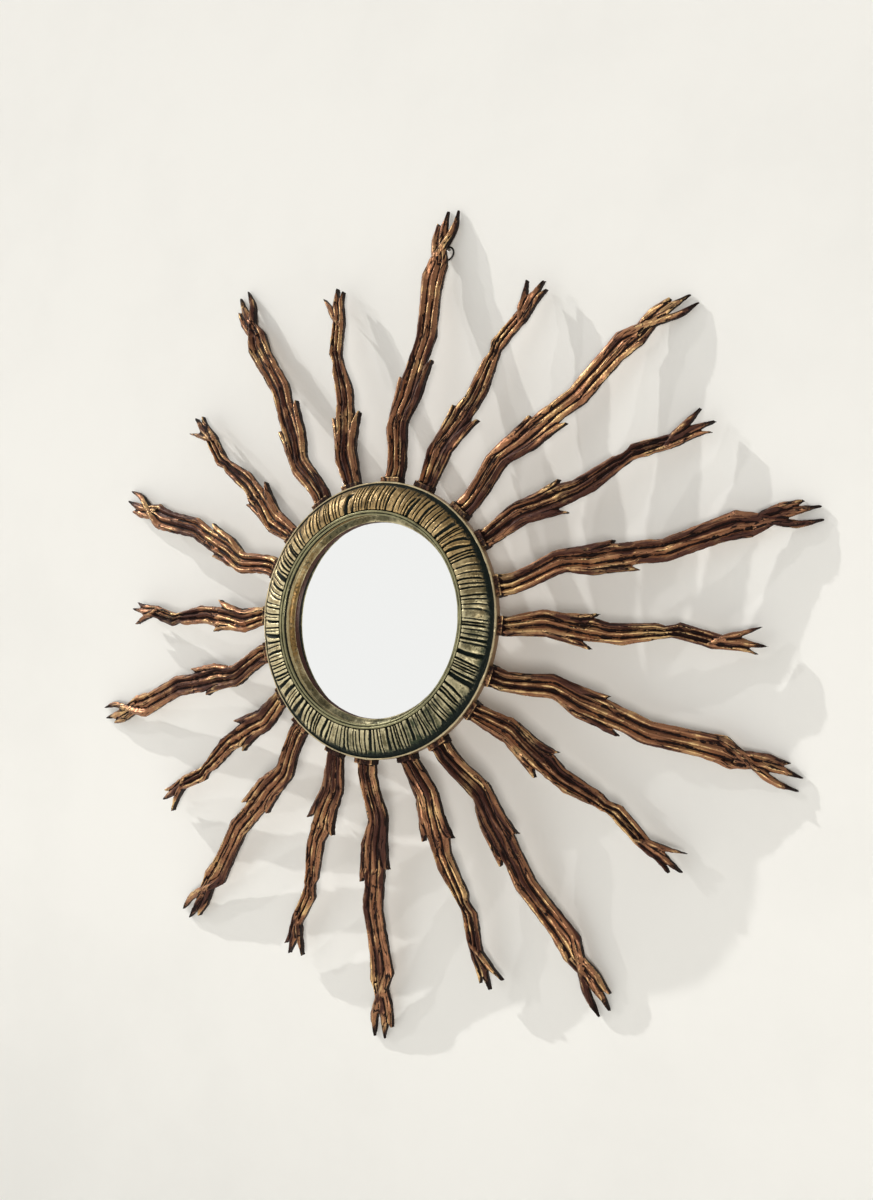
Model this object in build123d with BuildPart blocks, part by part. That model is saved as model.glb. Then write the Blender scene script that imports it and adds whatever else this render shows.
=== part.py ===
from build123d import *
import os
from math import cos, hypot, radians, sin

os.makedirs("parts", exist_ok=True)

# Frame: +Z up, the front faces -Y, the wall is the plane y = 0, and the origin is on the wall,
# level with the inside top of the hanging ring. Heights are measured from the wall to the front.

# Carved ring: one turned and carved piece of wood
wall_radius = 150.0
wall_front = 83.5
wall_depth = 8.0
back_radius = 138.0
back_height = 62.0
band_foot_radius = 147.0
band_foot_height = 85.5
band_top_radius = 118.0
band_top_height = 99.5
band_bulge = 3.0
bead_width = 6.0
bead_height = 97.5
bore_radius = 113.5

# Sight slip: the gilt cove between the ring and the glass
lip_height = 86.5
lip_width = 3.5
slip_gap = 0.3
sight_radius = 106.0
cove_edge_height = 85.0
cove_top_height = 88.5
cove_hollow = 1.2

# Mirror glass, backing board and the brads that hold them
glass_front = 81.0
glass_thickness = 4.0
glass_gap = 1.0
board_thickness = 4.0
brad_count = 8
brad_radius = 0.6
brad_length = 14.0
brad_bite = 6.0
brad_gap = 0.05
brad_start = 22.5

# Rays: tenons in the ring's edge, backs raked down to the wall
ray_pairs = 10
long_length = 320.0
ray_back_root = 66.5
ray_back_run = 302.0
ray_edge_root = 75.5
ray_edge_tip = 4.0
ray_rise_root = 5.0
ray_rise_tip = 3.5
groove_sink = 0.6
back_inset = 2.5
finger_lift = 0.5
shoulder_gap = 0.1
collar_reach = 5.5
collar_sink = 6.0
collar_back = 67.0
collar_front = 82.0
tenon_width = 14.0
tenon_thickness = 8.0
tenon_height = 76.0
tenon_length = 24.0
tenon_gap = 0.2
tenon_end_gap = 1.0

# One wire nail through each tenon, driven from behind
nail_circle = 134.0
nail_radius = 1.1
nail_length = 20.0
nail_head_radius = 2.4
nail_head_thickness = 1.0
nail_gap = 0.05

# Hanger on the back of the top ray: strap, two screws and a wire ring
centre_drop = 426.0
ring_wire = 2.0
ring_outer = 19.0
strap_width = 10.0
strap_length = 27.0
strap_thickness = 1.2
strap_gap = 0.05
eye_width = 3.2
eye_gap = 0.3
eye_neck = 3.0
screw_count = 2
screw_spacing = 13.0
screw_setback = 6.0
screw_radius = 1.4
screw_length = 7.0
screw_head_radius = 2.7
screw_head_height = 1.4
screw_slot_width = 0.7
screw_slot_depth = 0.6
screw_hole_gap = 0.2
pilot_gap = 0.05

# Outline of a long ray, measured from the ring's wall outwards, positive sideways anticlockwise:
# distance, upper edge, first groove, second groove, lower edge
long_trunk = [
    (5, 10.5, 1.5, -5.0, -12.5),
    (17, 10.0, 1.0, -5.5, -13.0),
    (36, 14.0, 5.5, -1.3, -9.5),
    (62, 23.0, 13.5, 5.5, -3.5),
    (69, 22.3, 14.5, 6.3, -2.5),
    (82, 20.0, 12.5, 4.0, -5.0),
    (97, 15.5, 9.5, 0.0, -9.0),
    (120, 16.2, 8.0, -2.0, -10.5),
    (143, 13.2, 5.5, -3.5, -10.5),
    (158, 11.5, 3.0, -5.5, -13.5),
    (170, 9.8, 2.0, -7.0, -15.5),
    (195, 13.0, 4.5, -4.0, -12.0),
    (225, 17.5, 8.0, -2.0, -8.5),
    (242, 20.3, 10.0, -1.0, -9.3),
    (253, 15.0, 7.0, -1.5, -10.3),
    (262, 11.4, 6.0, -1.0, -7.6),
    (275, 12.0, 7.0, 1.0, -3.2),
]
# Barbs and claws: distance, upper edge, lower edge, lift above the trunk
long_fingers = [
    [(66, 22.6, 14.5, 0.2), (97, 20.4, 11.0, 1.6), (110, 20.1, 13.8, 1.8), (120, 20.0, 16.4, 1.6),
     (122, 20.4, 19.2, 1.0)],
    [(76, 4.0, -4.5, 0.3), (82, 2.0, -6.7, 0.8), (97, -4.0, -12.3, 1.6), (120, -8.0, -14.5, 1.6),
     (134, -10.5, -16.2, 1.2), (141.5, -16.0, -17.0, 0.8)],
    [(256, 10.5, 2.0, 0.3), (274, 14.8, 7.0, 0.8), (284.5, 16.8, 8.6, 0.8), (299.5, 15.4, 9.9, 0.6),
     (305, 14.5, 13.5, 0.3)],
    [(256, 4.0, -6.0, 0.2), (274, 8.0, -3.0, 0.3), (289.5, 9.6, -0.5, 0.4), (299.5, 9.6, 0.6, 0.4),
     (310, 7.2, 2.2, 0.2), (320, 4.6, 3.4, 0.0)],
    [(236, 19.0, 10.5, 0.2), (244, 19.4, 9.4, 2.0), (260, 12.7, 3.2, 3.6), (278, 3.4, -5.4, 3.4),
     (292, -2.4, -11.2, 1.6), (301, -5.4, -12.4, 0.6), (320, -8.9, -10.1, 0.0)],
]
# The same for a short ray
short_trunk = [
    (5, 15.0, 8.0, 2.5, -5.5),
    (41, 25.3, 18.0, 9.5, -3.0),
    (48, 25.4, 18.5, 10.0, -2.0),
    (66, 20.5, 14.5, 7.0, -3.0),
    (82, 20.5, 13.0, 5.0, -3.2),
    (94, 21.5, 13.0, 3.5, -3.4),
    (110, 17.5, 10.0, 2.5, -3.5),
    (124, 18.5, 11.0, 4.0, -4.0),
    (155, 21.3, 14.0, 9.0, 4.0),
    (164, 19.3, 13.5, 9.5, 6.0),
    (170, 21.0, 15.0, 11.0, 7.4),
    (177.5, 23.8, 17.0, 11.5, 6.4),
    (199, 19.0, 14.0, 8.0, 2.5),
    (210, 16.3, 11.0, 6.0, 0.2),
    (222, 14.0, 9.0, 5.0, 0.0),
]
short_fingers = [
    [(45, 25.6, 18.4, 0.2), (66, 23.8, 16.0, 1.4), (82, 24.5, 17.8, 1.8), (92, 25.4, 20.8, 1.4),
     (96.5, 26.3, 25.3, 0.8)],
    [(46, 9.0, -1.8, 0.2), (66, 5.5, -6.1, 1.4), (78, -0.5, -8.7, 1.6), (84, -3.6, -9.8, 1.4),
     (92, -10.6, -11.6, 0.8)],
    [(206, 7.5, 1.0, 0.3), (212, 10.4, 3.2, 2.4), (220, 15.2, 7.6, 3.2), (236, 20.1, 13.9, 2.0),
     (253, 26.0, 25.0, 0.3)],
    [(214, 12.0, 3.4, 0.3), (225, 13.0, 4.0, 0.6), (236.8, 13.6, 4.6, 0.6), (243, 11.6, 4.0, 0.5),
     (260, 7.1, 6.1, 0.0)],
    [(208, 6.5, 0.4, 0.2), (225, 5.0, -0.1, 0.4), (236, 4.8, -0.2, 0.4), (243, 3.8, -0.8, 0.3),
     (251.5, -1.3, -2.3, 0.0)],
]
# Middle of each kind of root, sideways
long_root_middle = -1.0
short_root_middle = 4.8

# How each ray was set by hand, clockwise from the top one: lean in degrees, then extra length,
# sideways bow and sideways droop of the claws at the tip
ray_settings = [
    (0.0, -2, 0, 0), (-2.5, -9, -8, 0), (-1.0, -3, -21, -7), (-4.5, 1, -4, 0), (-1.5, 6, 4, 0),
    (-0.5, 6, 3, 0), (4.0, 2, 3, 0), (3.5, 3, -2, 0), (0.0, -2, -3, 0), (1.5, -5, 6, 0),
    (0.0, -8, 4, 0), (-1.0, -2, 1, 0), (-2.5, 4, 0, 0), (-2.5, 0, 4, 0), (0.5, 6, -2, 0),
    (2.0, 1, -8, 0), (2.5, -5, 1, 0), (1.0, -2, 2, 0), (2.0, 11, -1, 0), (1.5, -2, 3, 0),
]
droop_start = 242.0

wall_back = wall_front - wall_depth
rebate_radius = bore_radius + lip_width
glass_back = glass_front - glass_thickness
board_back = glass_back - board_thickness
plate_radius = rebate_radius - glass_gap
brad_height = board_back - brad_radius - brad_gap
mirror_centre = Vector(0, 0, -centre_drop)
ray_turn = 180.0 / ray_pairs
back_slope = ray_back_root / ray_back_run
wire_radius = ring_wire / 2
ring_middle = (ring_outer - ring_wire) / 2


def direction(angle):
    """Unit vector across the wall at an angle from +X, anticlockwise seen from the front."""
    return Vector(cos(radians(angle)), 0, sin(radians(angle)))


def ray_angle(index):
    return 90.0 - ray_turn * index


def across(angle, distance, turn=0.0):
    """Plane across a radius: x runs sideways, anticlockwise, and y runs from the wall to the front."""
    start = mirror_centre + direction(angle) * wall_radius
    heading = direction(angle + turn)
    side = direction(angle + turn + 90)
    return Plane(origin=start + heading * distance, x_dir=side, z_dir=heading)


def back_height_at(distance):
    return ray_back_root - back_slope * distance


def between(root, tip, distance):
    share = distance / long_length
    return root + (tip - root) * share


def trunk_outline(distance, upper, groove_a, groove_b, lower, bow):
    """Section of the fluted trunk: a flat back, two arrises and three ridges with grooves between."""
    back = back_height_at(distance)
    edge = between(ray_edge_root, ray_edge_tip, distance)
    crest = edge + between(ray_rise_root, ray_rise_tip, distance)
    groove = edge - groove_sink
    return [
        (lower + back_inset + bow, back),
        (upper - back_inset + bow, back),
        (upper + bow, edge),
        ((upper + groove_a) / 2 + bow, crest),
        (groove_a + bow, groove),
        ((groove_a + groove_b) / 2 + bow, crest),
        (groove_b + bow, groove),
        ((groove_b + lower) / 2 + bow, crest),
        (lower + bow, edge),
    ]


def finger_outline(distance, upper, lower, lift, bow):
    """Section of a barb or a claw: one ridge on its own, lower where it is narrow."""
    width = upper - lower
    inset = min(back_inset, width / 4)
    back = back_height_at(distance) + finger_lift
    edge = between(ray_edge_root, ray_edge_tip, distance) + lift
    crest = edge + min(between(ray_rise_root, ray_rise_tip, distance), width / 2)
    return [
        (lower + inset + bow, back),
        (upper - inset + bow, back),
        (upper + bow, edge),
        ((upper + lower) / 2 + bow, crest),
        (lower + bow, edge),
    ]


def loft_outlines(planes, outlines):
    """Straight loft through a row of outlines, kept apart from the part being made."""
    sections = []
    for plane, outline in zip(planes, outlines):
        with BuildSketch(plane) as section:
            with BuildLine():
                Polyline(*outline, close=True)
            make_face()
        sections.append(section.sketch)
    return loft(sections, ruled=True, mode=Mode.PRIVATE)


def facing(height):
    """Plane parallel to the wall: x to the right and y up, from the mirror's centre."""
    return Plane(origin=mirror_centre + Vector(0, -height, 0), x_dir=(1, 0, 0), z_dir=(0, -1, 0))


def root_middle(index):
    return long_root_middle if index % 2 == 0 else short_root_middle


def nail_place(index):
    angle = ray_angle(index)
    place = direction(angle) * nail_circle + direction(angle + 90) * root_middle(index)
    return (place.X, place.Z)


def brad_plane(index):
    """Plane across a radius at the driven end of a brad."""
    return across(brad_start + index * 360.0 / brad_count, rebate_radius + brad_bite - wall_radius)


# Profiles are drawn beside the turning axis: x outwards from the axis, y from the wall to the front
profile_plane = Plane(origin=mirror_centre, x_dir=(1, 0, 0), z_dir=(0, 0, -1))
turning_axis = Axis(mirror_centre, (0, -1, 0))
ray_numbers = range(2 * ray_pairs)

# Carved ring: the lobed band is one round bulge here, with a bead inside it and a rebate behind
band_run = band_foot_radius - band_top_radius
band_rise = band_top_height - band_foot_height
band_chord = hypot(band_run, band_rise)
band_middle = (
    band_top_radius + band_run / 2 + band_bulge * band_rise / band_chord,
    band_foot_height + band_rise / 2 + band_bulge * band_run / band_chord,
)
bead_radius = bead_width / 2
with BuildPart() as frame_ring:
    with BuildSketch(profile_plane):
        with BuildLine():
            Polyline(
                (bore_radius, bead_height - bead_radius),
                (bore_radius, lip_height),
                (rebate_radius, lip_height),
                (rebate_radius, back_height),
                (back_radius, back_height),
                (wall_radius, wall_back),
                (wall_radius, wall_front),
                (band_foot_radius, band_foot_height),
            )
            ThreePointArc(
                (band_foot_radius, band_foot_height), band_middle, (band_top_radius, band_top_height)
            )
            Line((band_top_radius, band_top_height), (band_top_radius, bead_height))
            ThreePointArc(
                (band_top_radius, bead_height),
                (band_top_radius - bead_radius, bead_height + bead_radius),
                (band_top_radius - bead_width, bead_height),
            )
            Line(
                (band_top_radius - bead_width, bead_height),
                (bore_radius, bead_height - bead_radius),
            )
        make_face()
    revolve(axis=turning_axis)
    for index in ray_numbers:
        with BuildSketch(across(ray_angle(index), shoulder_gap)):
            with Locations((root_middle(index), tenon_height)):
                Rectangle(tenon_width + 2 * tenon_gap, tenon_thickness + 2 * tenon_gap)
    extrude(amount=-shoulder_gap - tenon_length - tenon_end_gap, mode=Mode.SUBTRACT)
    with BuildSketch(facing(back_height)):
        with Locations([nail_place(index) for index in ray_numbers]):
            Circle(nail_radius + nail_gap)
    extrude(amount=nail_length + nail_gap, mode=Mode.SUBTRACT)
    for index in range(brad_count):
        with BuildSketch(brad_plane(index)):
            with Locations((0, brad_height)):
                Circle(brad_radius + brad_gap)
    extrude(amount=-brad_length, mode=Mode.SUBTRACT)
frame_ring.part.label = "frame_ring"
export_step(frame_ring.part, "parts/frame_ring.step")

# Sight slip: the gilt cove, whose flange sits behind the ring's lip
with BuildPart() as sight_slip:
    with BuildSketch(profile_plane):
        with BuildLine():
            Polyline(
                (sight_radius, cove_edge_height),
                (sight_radius, glass_front),
                (rebate_radius - slip_gap, glass_front),
                (rebate_radius - slip_gap, lip_height),
                (bore_radius - slip_gap, lip_height),
                (bore_radius - slip_gap, cove_top_height),
            )
            cove_run = bore_radius - slip_gap - sight_radius
            cove_rise = cove_top_height - cove_edge_height
            cove_chord = hypot(cove_run, cove_rise)
            ThreePointArc(
                (bore_radius - slip_gap, cove_top_height),
                (
                    sight_radius + cove_run / 2 + cove_hollow * cove_rise / cove_chord,
                    cove_edge_height + cove_rise / 2 - cove_hollow * cove_run / cove_chord,
                ),
                (sight_radius, cove_edge_height),
            )
        make_face()
    revolve(axis=turning_axis)
sight_slip.part.label = "sight_slip"
export_step(sight_slip.part, "parts/sight_slip.step")

# Mirror glass, silvered at the back
with BuildPart() as mirror_glass:
    with BuildSketch(facing(glass_back)):
        Circle(plate_radius)
    extrude(amount=glass_thickness)
mirror_glass.part.label = "mirror_glass"
export_step(mirror_glass.part, "parts/mirror_glass.step")

# Backing board behind the glass
with BuildPart() as backing_board:
    with BuildSketch(facing(board_back)):
        Circle(plate_radius)
    extrude(amount=board_thickness)
backing_board.part.label = "backing_board"
export_step(backing_board.part, "parts/backing_board.step")

# Brads driven outwards into the rebate's wall, flat against the board
with BuildPart() as backing_brads:
    for index in range(brad_count):
        with BuildSketch(brad_plane(index)):
            with Locations((0, brad_height)):
                Circle(brad_radius)
    extrude(amount=-brad_length)
backing_brads.part.label = "backing_brads"
export_step(backing_brads.part, "parts/backing_brads.step")

# Wire nails: flat heads on the ring's back, shanks through the tenons
with BuildPart() as ray_nails:
    with BuildSketch(facing(back_height - nail_head_thickness)):
        with Locations([nail_place(index) for index in ray_numbers]):
            Circle(nail_head_radius)
    extrude(amount=nail_head_thickness)
    with BuildSketch(facing(back_height)):
        with Locations([nail_place(index) for index in ray_numbers]):
            Circle(nail_radius)
    extrude(amount=nail_length)
ray_nails.part.label = "ray_nails"
export_step(ray_nails.part, "parts/ray_nails.step")

# Where the hanger sits on the top ray's raked back
top_slope = back_slope / (1 + ray_settings[0][1] / long_length)
rake_length = hypot(1, top_slope)
uphill = Vector(0, top_slope, 1) / rake_length
off_back = Vector(0, 1, -top_slope) / rake_length
eye_radius = wire_radius + eye_gap
pin_offset = strap_gap + strap_thickness + eye_radius
pin_z = -(2 * ring_middle - wire_radius) * uphill.Z
seat_z = pin_z - off_back.Z * pin_offset
seat_height = ray_back_root - top_slope * (seat_z + centre_drop - wall_radius)
hanger_seat = Plane(origin=(0, -seat_height, seat_z), x_dir=(1, 0, 0), z_dir=off_back)
pin = hanger_seat.origin + off_back * pin_offset
screw_places = [
    (0, strap_length - screw_setback - screw_spacing * index) for index in range(screw_count)
]

# Shape that each ray's shoulder is coped to: the ring's outer wall and the bevel behind it
with BuildPart() as shoulder_form:
    with BuildSketch(profile_plane):
        with BuildLine():
            Polyline(
                (bore_radius, back_height),
                (back_radius + shoulder_gap, back_height),
                (wall_radius + shoulder_gap, wall_back),
                (wall_radius + shoulder_gap, band_top_height),
                (bore_radius, band_top_height),
                close=True,
            )
        make_face()
    revolve(axis=turning_axis)

# Rays: odd numbers are long, even numbers are short, clockwise from the top
for index in ray_numbers:
    long_ray = index % 2 == 0
    lean, reach, bow, droop = ray_settings[index % len(ray_settings)]
    trunk = long_trunk if long_ray else short_trunk
    fingers = long_fingers if long_ray else short_fingers
    angle = ray_angle(index)
    stretch = 1 + reach / long_length

    def plane_at(distance):
        return across(angle, distance * stretch, lean)

    def bow_at(distance):
        claw_share = max(0.0, distance - droop_start) / (long_length - droop_start)
        return bow * (distance / long_length) ** 2 + droop * claw_share**2

    # The collar is coped to the ring, and the tenon runs straight into its mortise
    upper, lower = trunk[0][1], trunk[0][4]
    with BuildPart() as collar:
        with BuildSketch(plane_at(collar_reach)):
            with Locations(((upper + lower) / 2, (collar_back + collar_front) / 2)):
                Rectangle(upper - lower, collar_front - collar_back)
        extrude(amount=-collar_reach - collar_sink)
        add(shoulder_form.part, mode=Mode.SUBTRACT)
        with BuildSketch(across(angle, collar_reach / 2)):
            with Locations((root_middle(index), tenon_height)):
                Rectangle(tenon_width, tenon_thickness)
        extrude(amount=-collar_reach / 2 - tenon_length)
        with BuildSketch(facing(back_height)):
            with Locations(nail_place(index)):
                Circle(nail_radius + nail_gap)
        extrude(amount=nail_length + tenon_thickness, mode=Mode.SUBTRACT)

    # Barbs and claws; a long ray's claws are trimmed flat where they rest on the wall
    with BuildPart() as carving:
        for finger in fingers:
            add(
                loft_outlines(
                    [plane_at(row[0]) for row in finger],
                    [finger_outline(*row, bow_at(row[0])) for row in finger],
                )
            )
        if long_ray:
            split(bisect_by=Plane.XZ, keep=Keep.TOP)

    with BuildPart() as ray:
        add(
            loft_outlines(
                [plane_at(row[0]) for row in trunk],
                [trunk_outline(*row, bow_at(row[0])) for row in trunk],
            )
        )
        add([collar.part, carving.part])
        if index == 0:
            with BuildSketch(hanger_seat):
                with Locations(screw_places):
                    Circle(screw_radius + pilot_gap)
            extrude(amount=-screw_length, mode=Mode.SUBTRACT)
    name = f"ray_{index + 1:02d}"
    ray.part.label = name
    export_step(ray.part, f"parts/{name}.step")
    print(name, "solids", len(ray.part.solids()), "volume", round(ray.part.volume))

# Steel strap, rolled into an eye at its top end, drawn from the side and cut to its plan shape
strap_foot = hanger_seat.origin + off_back * strap_gap
strap_side = Plane(origin=strap_foot, x_dir=-uphill, z_dir=(1, 0, 0))
eye_outer = eye_radius + strap_thickness
with BuildPart() as hanger_strap:
    with BuildSketch(strap_side):
        with Locations((strap_length / 2, strap_thickness / 2)):
            Rectangle(strap_length, strap_thickness)
        with Locations((0, eye_outer)):
            Circle(eye_outer)
            Circle(eye_radius, mode=Mode.SUBTRACT)
    extrude(amount=strap_width / 2, both=True)
    with BuildSketch(hanger_seat):
        for side in (-1, 1):
            with Locations((side * (eye_width + strap_width) / 4, 0)):
                Rectangle((strap_width - eye_width) / 2, 2 * (eye_outer + eye_neck))
    extrude(amount=2 * eye_outer + strap_gap, mode=Mode.SUBTRACT)
    with BuildSketch(hanger_seat):
        with Locations(screw_places):
            Circle(screw_radius + screw_hole_gap)
    extrude(amount=2 * eye_outer, mode=Mode.SUBTRACT)
hanger_strap.part.label = "hanger_strap"
export_step(hanger_strap.part, "parts/hanger_strap.step")

# Two round-head wood screws, slotted
strap_top = hanger_seat.offset(strap_gap + strap_thickness)
with BuildPart() as hanger_screws:
    with BuildSketch(strap_top):
        with Locations(screw_places):
            Circle(screw_radius)
    extrude(amount=-screw_length)
    with BuildSketch(strap_top):
        with Locations(screw_places):
            Circle(screw_head_radius)
    extrude(amount=screw_head_height)
    with BuildSketch(strap_top.offset(screw_head_height)):
        with Locations(screw_places):
            Rectangle(2 * screw_head_radius, screw_slot_width)
    extrude(amount=-screw_slot_depth, mode=Mode.SUBTRACT)
hanger_screws.part.label = "hanger_screws"
export_step(hanger_screws.part, "parts/hanger_screws.step")

# Wire hanging ring, standing up along the ray's back with its eye at the foot
ring_centre = pin + uphill * ring_middle
with BuildPart() as hanger_ring:
    with BuildSketch(Plane(origin=ring_centre + Vector(ring_middle, 0, 0), x_dir=(1, 0, 0), z_dir=uphill)):
        Circle(wire_radius)
    revolve(axis=Axis(ring_centre, off_back))
hanger_ring.part.label = "hanger_ring"
export_step(hanger_ring.part, "parts/hanger_ring.step")

print("hinge pin", pin, "inside top of the ring", ring_centre + uphill * (ring_middle - wire_radius))
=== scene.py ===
"""Carved and gilded sunburst mirror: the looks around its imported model."""

import math

import bmesh
import bpy
import numpy as np
from bpy.props import (FloatProperty, FloatVectorProperty, IntProperty, PointerProperty)
from mathutils import Matrix, Vector


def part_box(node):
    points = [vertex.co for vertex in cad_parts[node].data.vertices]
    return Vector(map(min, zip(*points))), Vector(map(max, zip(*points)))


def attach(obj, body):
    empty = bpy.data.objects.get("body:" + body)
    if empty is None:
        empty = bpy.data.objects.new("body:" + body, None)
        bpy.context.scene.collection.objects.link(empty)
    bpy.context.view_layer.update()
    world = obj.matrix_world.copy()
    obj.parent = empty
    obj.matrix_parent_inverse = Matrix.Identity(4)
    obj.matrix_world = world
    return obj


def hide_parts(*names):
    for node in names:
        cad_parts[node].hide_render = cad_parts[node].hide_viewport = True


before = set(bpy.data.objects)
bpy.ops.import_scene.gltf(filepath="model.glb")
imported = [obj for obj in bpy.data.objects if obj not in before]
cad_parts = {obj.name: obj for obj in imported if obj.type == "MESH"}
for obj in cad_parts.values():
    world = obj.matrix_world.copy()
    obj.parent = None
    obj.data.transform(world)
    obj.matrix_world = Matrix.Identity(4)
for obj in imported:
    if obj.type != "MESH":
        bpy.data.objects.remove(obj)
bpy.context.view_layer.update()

bl_info = {
    "name": "Carved Sunburst Mirror",
    "version": (1, 0, 0),
    "blender": (4, 5, 0),
    "location": "View3D > Sidebar > Sunburst",
    "description": "Carved ring, gilded rays, glass and hanger of a sunburst mirror",
    "category": "Object",
}

MILLIMETRE = 0.001
FULL_TURN = 2.0 * math.pi
MIRROR_BODY = "mirror"
RAY_NAMES = [f"ray_{number:02d}" for number in range(1, 21)]
glass_low, glass_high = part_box("mirror_glass")
MIRROR_CENTRE = Vector(((glass_low.x + glass_high.x) / 2, 0.0, (glass_low.z + glass_high.z) / 2))

# Marks that the carved meshes carry for their finishes, each from 0 to 1
CREST = "crest"
GROOVE = "groove"
REAR = "rear"
TIP = "tip"
FOOT = "foot"
RIM = "rim"
BEAD = "bead"
CUT = "cut"
SIDE = "side"
BAND = "band"
FIBRE = "fibre"

# Kinds of socket that the node groups have
NUMBER = "NodeSocketFloat"
COUNT = "NodeSocketInt"
TINT = "NodeSocketColor"
PLACE = "NodeSocketVector"
SURFACE = "NodeSocketGeometry"

# Values of single finishes and steps: lengths in metres, angles in radians, colours
MERGE_GAP = 1e-6
SHARP_ANGLE = math.radians(50.0)
LOW_GLOSS = 0.15
FIRST_RAY_SEED = 11
WAVES_ROUND = 11.0
TARNISH_START = 0.128
TARNISH_END = 0.144
SILVER = (0.955, 0.96, 0.955, 1.0)
TARNISH = (0.30, 0.27, 0.22, 1.0)


def metres(name, description, default):
    """A size property in metres"""
    return FloatProperty(name=name, description=description, default=default, unit="LENGTH")


def factor(name, description, default):
    """A property that is a share of one"""
    return FloatProperty(name=name, description=description, default=default, subtype="FACTOR")


def degrees(name, description, default):
    """An angle property, its default given in degrees"""
    default = math.radians(default)
    return FloatProperty(name=name, description=description, default=default, subtype="ANGLE")


class SunburstRingSizes(bpy.types.PropertyGroup):
    """Sizes of the carved ring and its sight slip"""

    steps_round: IntProperty(
        name="Steps Round", description="Faces round the ring", default=1200, min=64
    )
    cuts: IntProperty(
        name="Cuts", description="Radial gouge cuts round the band", default=146, min=3
    )
    cut_depth: metres("Cut Depth", "Deepest cut", 0.0026)
    cut_width: factor("Cut Width", "Half width of a cut as a share of a lobe", 0.27)
    cut_slant: FloatProperty(
        name="Cut Slant",
        description="How many lobes a cut leans over between its two ends",
        default=0.75,
    )
    wander: FloatProperty(
        name="Wander", description="How far the lobes' widths vary, in lobes", default=6.0
    )
    lobe_swell: metres("Lobe Swell", "How far a lobe swells between two cuts", 0.0007)
    unevenness: metres("Unevenness", "How uneven the hand carved surface is", 0.00075)
    seed: IntProperty(name="Seed", description="Order of the cuts", default=7)


class SunburstRaySizes(bpy.types.PropertyGroup):
    """Fineness and wear of the carved rays"""

    grain: metres("Surface Step", "Edge length of the carved surface", 0.00092)
    crispness: factor("Crispness", "How far ridges and grooves are cut up again", 0.9)
    gouge_depth: metres("Gouge Depth", "Depth of the long gouge marks on the strands", 0.00022)
    facet_depth: metres("Facet Depth", "Depth of the broad tool facets", 0.0004)
    chip_depth: metres("Chip Depth", "Depth of the chips along the ridges", 0.0006)


def finish_colour(name, description, default):
    """A colour property of a finish"""
    return FloatVectorProperty(
        name=name,
        description=description,
        default=default,
        size=3,
        min=0.0,
        max=1.0,
        subtype="COLOR",
    )


class SunburstColours(bpy.types.PropertyGroup):
    """Colours of the mirror's finishes"""

    leaf: finish_colour("Leaf", "Rubbed gold leaf on the rays", (0.375, 0.176, 0.092))
    # Bright leaf also paints highlights on the rays' crests
    bright_leaf: finish_colour("Bright Leaf", "Gold leaf where it is whole", (0.86, 0.58, 0.27))
    bole: finish_colour("Bole", "Red-brown ground under the leaf", (0.072, 0.027, 0.019))
    # Dark wax and painted shade: this colour darkens the rays' grooves and the sides that turn
    # side-on
    wax_and_painted_shade: finish_colour("Glaze", "Dark wax in the grooves", (0.012, 0.0045, 0.0035))
    ring_leaf: finish_colour("Ring Leaf", "Olive gold of the lobes", (0.40, 0.31, 0.165))
    # Ring bright also paints highlights on the crests of the lobes
    ring_bright: finish_colour("Ring Bright", "Pale gold on the lobes' tops", (0.86, 0.76, 0.47))
    # Ring green is real patina, and it also paints shade towards the lower right and at the foot
    ring_green: finish_colour("Ring Green", "Green patina on the ring", (0.040, 0.054, 0.030))
    # Ring dark is green-black patina with painted shade in the cuts, grooves and foot
    ring_dark: finish_colour("Ring Dark", "Green-black in the cuts", (0.006, 0.011, 0.009))
    rim_gold: finish_colour("Rim Gold", "Worn edge of the ring", (0.66, 0.55, 0.34))
    bead_green: finish_colour("Bead Green", "Bead inside the band", (0.130, 0.122, 0.068))
    slip_gold: finish_colour("Slip Gold", "Cove of the slip", (0.31, 0.19, 0.068))
    wood: finish_colour("Wood", "Bare board behind the glass", (0.24, 0.145, 0.075))
    wall: finish_colour("Wall", "Backdrop behind the mirror", (0.90, 0.895, 0.87))


class SunburstStage(bpy.types.PropertyGroup):
    """Camera and light"""

    lens: FloatProperty(name="Lens", description="Focal length", default=46.38, unit="CAMERA")
    camera_yaw: degrees("Yaw", "Turn of the view to the left", 31.81)
    camera_pitch: degrees("Pitch", "Tilt of the view upwards", 1.39)
    camera_roll: degrees("Roll", "Roll of the view", 5.02)
    camera_place: FloatVectorProperty(
        name="Camera Place",
        description="Where the camera stands",
        default=(0.9324, -1.4653, -0.4392),
        subtype="TRANSLATION",
    )
    key_strength: FloatProperty(
        name="Key Light", description="Strength of the grazing light", default=1.75
    )
    fill_strength: FloatProperty(
        name="Fill Light", description="Strength of the light from the front", default=1.27
    )
    sky_strength: FloatProperty(
        name="Room Light", description="Strength of the light all round", default=0.20
    )


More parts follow.
